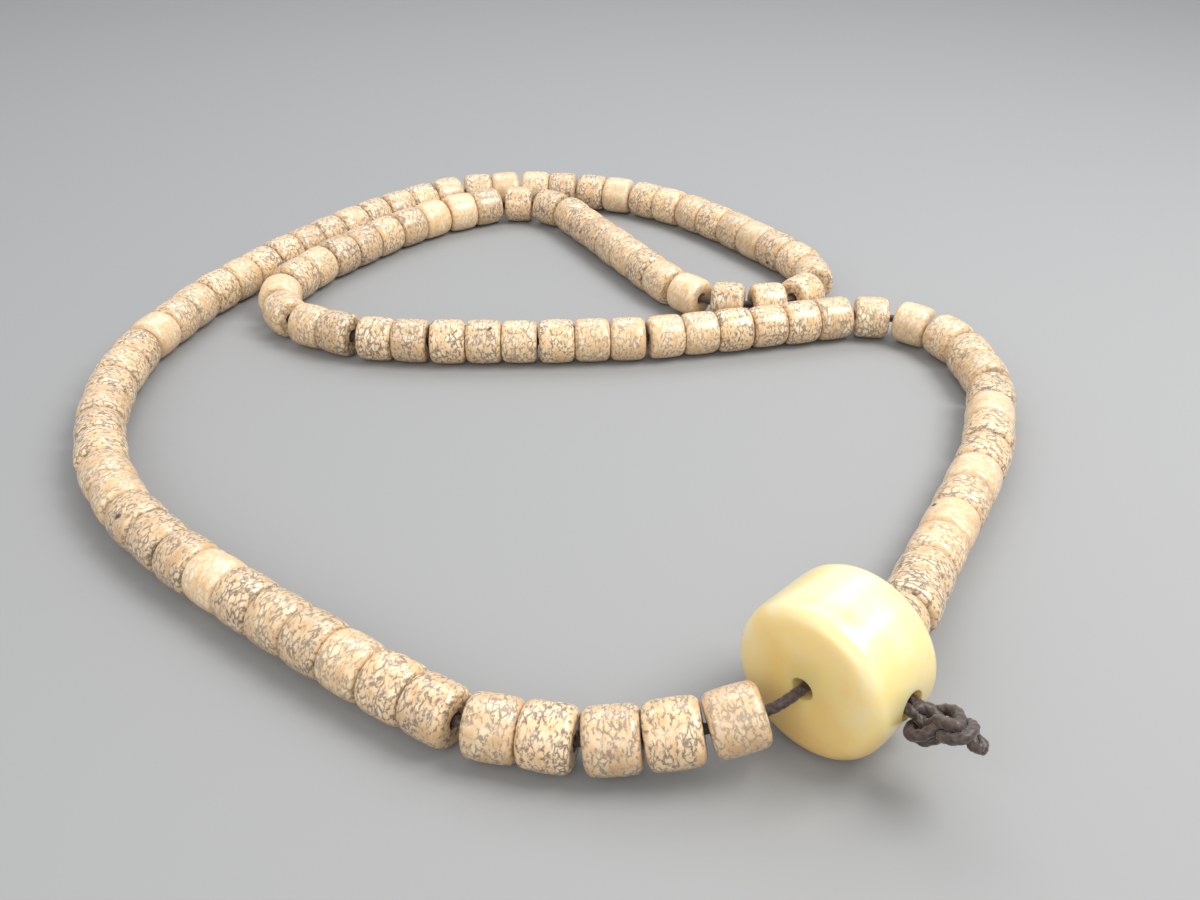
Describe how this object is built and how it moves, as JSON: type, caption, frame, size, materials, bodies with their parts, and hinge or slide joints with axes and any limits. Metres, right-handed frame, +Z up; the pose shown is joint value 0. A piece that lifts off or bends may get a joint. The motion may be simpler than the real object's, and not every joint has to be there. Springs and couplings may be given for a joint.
{
  "type": "mala prayer beads",
  "caption": "Closed loop of drilled barrel seed beads on a waxed cord, with a large amber-coloured three-way guru bead and a small finishing knot, lying in an open double curve.",
  "frame": {"origin": "on the table under the middle of the whole object's box", "axes": "+Z up from the table the mala lies on, +Y along its longest extent from the guru bead's end to the far bend, +X across"},
  "size_m": [0.1968, 0.2333, 0.0251],
  "materials": {
    "seed": "polished bodhi seed, honey tan with dark brown veins",
    "guru": "polished amber-coloured resin with milky clouds",
    "cord": "dark brown waxed cord"
  },
  "bodies": {
    "cord": {"cord_loop": "cord"},
    "guru": {"guru_bead": "guru", "cord_ends": "cord", "finishing_knot": "cord"},
    "seeds_01": {"seed_beads_01": "seed"},
    "seeds_02": {"seed_beads_02": "seed"},
    "seeds_03": {"seed_beads_03": "seed"},
    "seeds_04": {"seed_beads_04": "seed"},
    "seeds_05": {"seed_beads_05": "seed"},
    "seeds_06": {"seed_beads_06": "seed"},
    "seeds_07": {"seed_beads_07": "seed"},
    "seeds_08": {"seed_beads_08": "seed"},
    "seeds_09": {"seed_beads_09": "seed"},
    "seeds_10": {"seed_beads_10": "seed"},
    "seeds_11": {"seed_beads_11": "seed"},
    "seeds_12": {"seed_beads_12": "seed"},
    "seeds_13": {"seed_beads_13": "seed"},
    "seeds_14": {"seed_beads_14": "seed"},
    "seeds_15": {"seed_beads_15": "seed"},
    "seeds_16": {"seed_beads_16": "seed"},
    "seeds_17": {"seed_beads_17": "seed"},
    "seeds_18": {"seed_beads_18": "seed"},
    "seeds_19": {"seed_beads_19": "seed"},
    "seeds_20": {"seed_beads_20": "seed"},
    "seeds_21": {"seed_beads_21": "seed"},
    "seeds_22": {"seed_beads_22": "seed"},
    "seeds_23": {"seed_beads_23": "seed"},
    "seeds_24": {"seed_beads_24": "seed"},
    "seeds_25": {"seed_beads_25": "seed"},
    "seeds_26": {"seed_beads_26": "seed"},
    "seeds_27": {"seed_beads_27": "seed"},
    "seeds_28": {"seed_beads_28": "seed"},
    "seeds_29": {"seed_beads_29": "seed"},
    "seeds_30": {"seed_beads_30": "seed"},
    "seeds_31": {"seed_beads_31": "seed"},
    "seeds_32": {"seed_beads_32": "seed"},
    "seeds_33": {"seed_beads_33": "seed"},
    "seeds_34": {"seed_beads_34": "seed"},
    "seeds_35": {"seed_beads_35": "seed"},
    "seeds_36": {"seed_beads_36": "seed"},
    "seeds_37": {"seed_beads_37": "seed"},
    "seeds_38": {"seed_beads_38": "seed"},
    "seeds_39": {"seed_beads_39": "seed"},
    "seeds_40": {"seed_beads_40": "seed"},
    "seeds_41": {"seed_beads_41": "seed"},
    "seeds_42": {"seed_beads_42": "seed"},
    "seeds_43": {"seed_beads_43": "seed"},
    "seeds_44": {"seed_beads_44": "seed"},
    "seeds_45": {"seed_beads_45": "seed"},
    "seeds_46": {"seed_beads_46": "seed"},
    "seeds_47": {"seed_beads_47": "seed"},
    "seeds_48": {"seed_beads_48": "seed"},
    "seeds_49": {"seed_beads_49": "seed"},
    "seeds_50": {"seed_beads_50": "seed"},
    "seeds_51": {"seed_beads_51": "seed"},
    "seeds_52": {"seed_beads_52": "seed"},
    "seeds_53": {"seed_beads_53": "seed"},
    "seeds_54": {"seed_beads_54": "seed"},
    "seeds_55": {"seed_beads_55": "seed"},
    "seeds_56": {"seed_beads_56": "seed"}
  },
  "joints": [
    {"name": "guru_roll", "type": "hinge", "parent": "cord", "child": "guru", "pos_m": [0.04421, -0.0987, 0.01255], "axis": [0.7071, 0.7071, 0], "range_deg": [-60, 20]},
    {"name": "seed_spin_01", "type": "hinge", "parent": "cord", "child": "seeds_01", "pos_m": [0.02951, -0.10681, 0.00915], "axis": [-0.9602, -0.1467, -0.2376], "continuous": true},
    {"name": "seed_spin_02", "type": "hinge", "parent": "cord", "child": "seeds_02", "pos_m": [0.0208, -0.10759, 0.00728], "axis": [-0.9839, -0.0225, -0.177], "continuous": true},
    {"name": "seed_spin_03", "type": "hinge", "parent": "cord", "child": "seeds_03", "pos_m": [0.0123, -0.10761, 0.00601], "axis": [-0.9926, 0.02, -0.1201], "continuous": true},
    {"name": "seed_spin_04", "type": "hinge", "parent": "cord", "child": "seeds_04", "pos_m": [-0.00074, -0.10549, 0.00529], "axis": [-0.974, 0.2256, -0.0216], "continuous": true},
    {"name": "seed_spin_05", "type": "hinge", "parent": "cord", "child": "seeds_05", "pos_m": [-0.01656, -0.09887, 0.0051], "axis": [-0.8383, 0.5453, 0], "continuous": true},
    {"name": "seed_spin_06", "type": "hinge", "parent": "cord", "child": "seeds_06", "pos_m": [-0.0334, -0.08703, 0.0051], "axis": [-0.8037, 0.5951, 0], "continuous": true},
    {"name": "seed_spin_07", "type": "hinge", "parent": "cord", "child": "seeds_07", "pos_m": [-0.05284, -0.07216, 0.0051], "axis": [-0.7847, 0.6199, 0], "continuous": true},
    {"name": "seed_spin_08", "type": "hinge", "parent": "cord", "child": "seeds_08", "pos_m": [-0.06848, -0.05862, 0.0051], "axis": [-0.7113, 0.7029, 0], "continuous": true},
    {"name": "seed_spin_09", "type": "hinge", "parent": "cord", "child": "seeds_09", "pos_m": [-0.07934, -0.04559, 0.0051], "axis": [-0.5646, 0.8254, 0], "continuous": true},
    {"name": "seed_spin_10", "type": "hinge", "parent": "cord", "child": "seeds_10", "pos_m": [-0.0873, -0.03052, 0.0051], "axis": [-0.3625, 0.932, 0], "continuous": true},
    {"name": "seed_spin_11", "type": "hinge", "parent": "cord", "child": "seeds_11", "pos_m": [-0.09191, -0.01416, 0.0051], "axis": [-0.1779, 0.9841, 0], "continuous": true},
    {"name": "seed_spin_12", "type": "hinge", "parent": "cord", "child": "seeds_12", "pos_m": [-0.0932, 0.0028, 0.0051], "axis": [0.0263, 0.9997, 0], "continuous": true},
    {"name": "seed_spin_13", "type": "hinge", "parent": "cord", "child": "seeds_13", "pos_m": [-0.08945, 0.02349, 0.0051], "axis": [0.2796, 0.9601, 0], "continuous": true},
    {"name": "seed_spin_14", "type": "hinge", "parent": "cord", "child": "seeds_14", "pos_m": [-0.08045, 0.04671, 0.0051], "axis": [0.4421, 0.897, 0], "continuous": true},
    {"name": "seed_spin_15", "type": "hinge", "parent": "cord", "child": "seeds_15", "pos_m": [-0.06819, 0.06818, 0.0051], "axis": [0.5475, 0.8368, 0], "continuous": true},
    {"name": "seed_spin_16", "type": "hinge", "parent": "cord", "child": "seeds_16", "pos_m": [-0.0561, 0.085, 0.0051], "axis": [0.6354, 0.7722, 0], "continuous": true},
    {"name": "seed_spin_17", "type": "hinge", "parent": "cord", "child": "seeds_17", "pos_m": [-0.04454, 0.09721, 0.0051], "axis": [0.7353, 0.6778, 0], "continuous": true},
    {"name": "seed_spin_18", "type": "hinge", "parent": "cord", "child": "seeds_18", "pos_m": [-0.03446, 0.1054, 0.0051], "axis": [0.8447, 0.5353, 0], "continuous": true},
    {"name": "seed_spin_19", "type": "hinge", "parent": "cord", "child": "seeds_19", "pos_m": [-0.02176, 0.10951, 0.0051], "axis": [0.9827, 0.1852, 0], "continuous": true},
    {"name": "seed_spin_20", "type": "hinge", "parent": "cord", "child": "seeds_20", "pos_m": [-0.00446, 0.11035, 0.0051], "axis": [0.9952, -0.0977, 0], "continuous": true},
    {"name": "seed_spin_21", "type": "hinge", "parent": "cord", "child": "seeds_21", "pos_m": [0.01228, 0.10675, 0.0051], "axis": [0.9485, -0.3167, 0], "continuous": true},
    {"name": "seed_spin_22", "type": "hinge", "parent": "cord", "child": "seeds_22", "pos_m": [0.02758, 0.0989, 0.0051], "axis": [0.8098, -0.5867, 0], "continuous": true},
    {"name": "seed_spin_23", "type": "hinge", "parent": "cord", "child": "seeds_23", "pos_m": [0.04019, 0.08752, 0.0051], "axis": [0.664, -0.7478, 0], "continuous": true},
    {"name": "seed_spin_24", "type": "hinge", "parent": "cord", "child": "seeds_24", "pos_m": [0.05288, 0.07102, 0.0051], "axis": [0.5711, -0.8209, 0], "continuous": true},
    {"name": "seed_spin_25", "type": "hinge", "parent": "cord", "child": "seeds_25", "pos_m": [0.06198, 0.05677, 0.0051], "axis": [0.4423, -0.8969, 0], "continuous": true},
    {"name": "seed_spin_26", "type": "hinge", "parent": "cord", "child": "seeds_26", "pos_m": [0.06408, 0.04719, 0.0051], "axis": [0.0204, -0.9998, 0], "continuous": true},
    {"name": "seed_spin_27", "type": "hinge", "parent": "cord", "child": "seeds_27", "pos_m": [0.06004, 0.03773, 0.0051], "axis": [-0.7278, -0.6858, 0], "continuous": true},
    {"name": "seed_spin_28", "type": "hinge", "parent": "cord", "child": "seeds_28", "pos_m": [0.05116, 0.03302, 0.0051], "axis": [-0.9861, -0.1659, 0], "continuous": true},
    {"name": "seed_spin_29", "type": "hinge", "parent": "cord", "child": "seeds_29", "pos_m": [0.04132, 0.03324, 0.0051], "axis": [-0.9809, 0.1946, 0], "continuous": true},
    {"name": "seed_spin_30", "type": "hinge", "parent": "cord", "child": "seeds_30", "pos_m": [0.03263, 0.03779, 0.0051], "axis": [-0.7116, 0.7026, 0], "continuous": true},
    {"name": "seed_spin_31", "type": "hinge", "parent": "cord", "child": "seeds_31", "pos_m": [0.02682, 0.04499, 0.0051], "axis": [-0.5184, 0.8552, 0], "continuous": true},
    {"name": "seed_spin_32", "type": "hinge", "parent": "cord", "child": "seeds_32", "pos_m": [0.0188, 0.05944, 0.0051], "axis": [-0.474, 0.8805, 0], "continuous": true},
    {"name": "seed_spin_33", "type": "hinge", "parent": "cord", "child": "seeds_33", "pos_m": [0.00691, 0.08129, 0.0051], "axis": [-0.4816, 0.8764, 0], "continuous": true},
    {"name": "seed_spin_34", "type": "hinge", "parent": "cord", "child": "seeds_34", "pos_m": [-0.00345, 0.09545, 0.0051], "axis": [-0.8102, 0.5862, 0], "continuous": true},
    {"name": "seed_spin_35", "type": "hinge", "parent": "cord", "child": "seeds_35", "pos_m": [-0.01292, 0.09865, 0.0051], "axis": [-0.9998, 0.0191, 0], "continuous": true},
    {"name": "seed_spin_36", "type": "hinge", "parent": "cord", "child": "seeds_36", "pos_m": [-0.02593, 0.09427, 0.0051], "axis": [-0.8678, -0.4969, 0], "continuous": true},
    {"name": "seed_spin_37", "type": "hinge", "parent": "cord", "child": "seeds_37", "pos_m": [-0.03979, 0.0839, 0.0051], "axis": [-0.7156, -0.6985, 0], "continuous": true},
    {"name": "seed_spin_38", "type": "hinge", "parent": "cord", "child": "seeds_38", "pos_m": [-0.0532, 0.06797, 0.0051], "axis": [-0.5923, -0.8057, 0], "continuous": true},
    {"name": "seed_spin_39", "type": "hinge", "parent": "cord", "child": "seeds_39", "pos_m": [-0.06434, 0.04985, 0.0051], "axis": [-0.4217, -0.9067, 0], "continuous": true},
    {"name": "seed_spin_40", "type": "hinge", "parent": "cord", "child": "seeds_40", "pos_m": [-0.06765, 0.03656, 0.0051], "axis": [0.0861, -0.9963, 0], "continuous": true},
    {"name": "seed_spin_41", "type": "hinge", "parent": "cord", "child": "seeds_41", "pos_m": [-0.06424, 0.02725, 0.0051], "axis": [0.5847, -0.8112, 0], "continuous": true},
    {"name": "seed_spin_42", "type": "hinge", "parent": "cord", "child": "seeds_42", "pos_m": [-0.05313, 0.01911, 0.0051], "axis": [0.8963, -0.4435, 0], "continuous": true},
    {"name": "seed_spin_43", "type": "hinge", "parent": "cord", "child": "seeds_43", "pos_m": [-0.03656, 0.01407, 0.0051], "axis": [0.9929, -0.1193, 0], "continuous": true},
    {"name": "seed_spin_44", "type": "hinge", "parent": "cord", "child": "seeds_44", "pos_m": [-0.01586, 0.01305, 0.0051], "axis": [1, -0.0007, 0], "continuous": true},
    {"name": "seed_spin_45", "type": "hinge", "parent": "cord", "child": "seeds_45", "pos_m": [0.00875, 0.01385, 0.0051], "axis": [0.9978, 0.0658, 0], "continuous": true},
    {"name": "seed_spin_46", "type": "hinge", "parent": "cord", "child": "seeds_46", "pos_m": [0.03319, 0.01722, 0.0051], "axis": [0.9785, 0.2061, 0], "continuous": true},
    {"name": "seed_spin_47", "type": "hinge", "parent": "cord", "child": "seeds_47", "pos_m": [0.05746, 0.02282, 0.0051], "axis": [0.9699, 0.2434, 0], "continuous": true},
    {"name": "seed_spin_48", "type": "hinge", "parent": "cord", "child": "seeds_48", "pos_m": [0.07468, 0.02536, 0.0051], "axis": [0.9951, -0.0989, 0], "continuous": true},
    {"name": "seed_spin_49", "type": "hinge", "parent": "cord", "child": "seeds_49", "pos_m": [0.08389, 0.02165, 0.0051], "axis": [0.7905, -0.6124, 0], "continuous": true},
    {"name": "seed_spin_50", "type": "hinge", "parent": "cord", "child": "seeds_50", "pos_m": [0.09018, 0.01415, 0.0051], "axis": [0.4471, -0.8945, 0], "continuous": true},
    {"name": "seed_spin_51", "type": "hinge", "parent": "cord", "child": "seeds_51", "pos_m": [0.09299, 0.00091, 0.0051], "axis": [0.0746, -0.9972, 0], "continuous": true},
    {"name": "seed_spin_52", "type": "hinge", "parent": "cord", "child": "seeds_52", "pos_m": [0.08983, -0.02019, 0.0051], "axis": [-0.3015, -0.9535, 0], "continuous": true},
    {"name": "seed_spin_53", "type": "hinge", "parent": "cord", "child": "seeds_53", "pos_m": [0.08204, -0.03964, 0.0051], "axis": [-0.475, -0.88, 0], "continuous": true},
    {"name": "seed_spin_54", "type": "hinge", "parent": "cord", "child": "seeds_54", "pos_m": [0.07198, -0.05774, 0.00518], "axis": [-0.4935, -0.8697, 0.0064], "continuous": true},
    {"name": "seed_spin_55", "type": "hinge", "parent": "cord", "child": "seeds_55", "pos_m": [0.06191, -0.0763, 0.00661], "axis": [-0.4471, -0.8814, 0.1526], "continuous": true},
    {"name": "seed_spin_56", "type": "hinge", "parent": "cord", "child": "seeds_56", "pos_m": [0.05528, -0.08717, 0.00903], "axis": [-0.6346, -0.7295, 0.2552], "continuous": true}
  ]
}
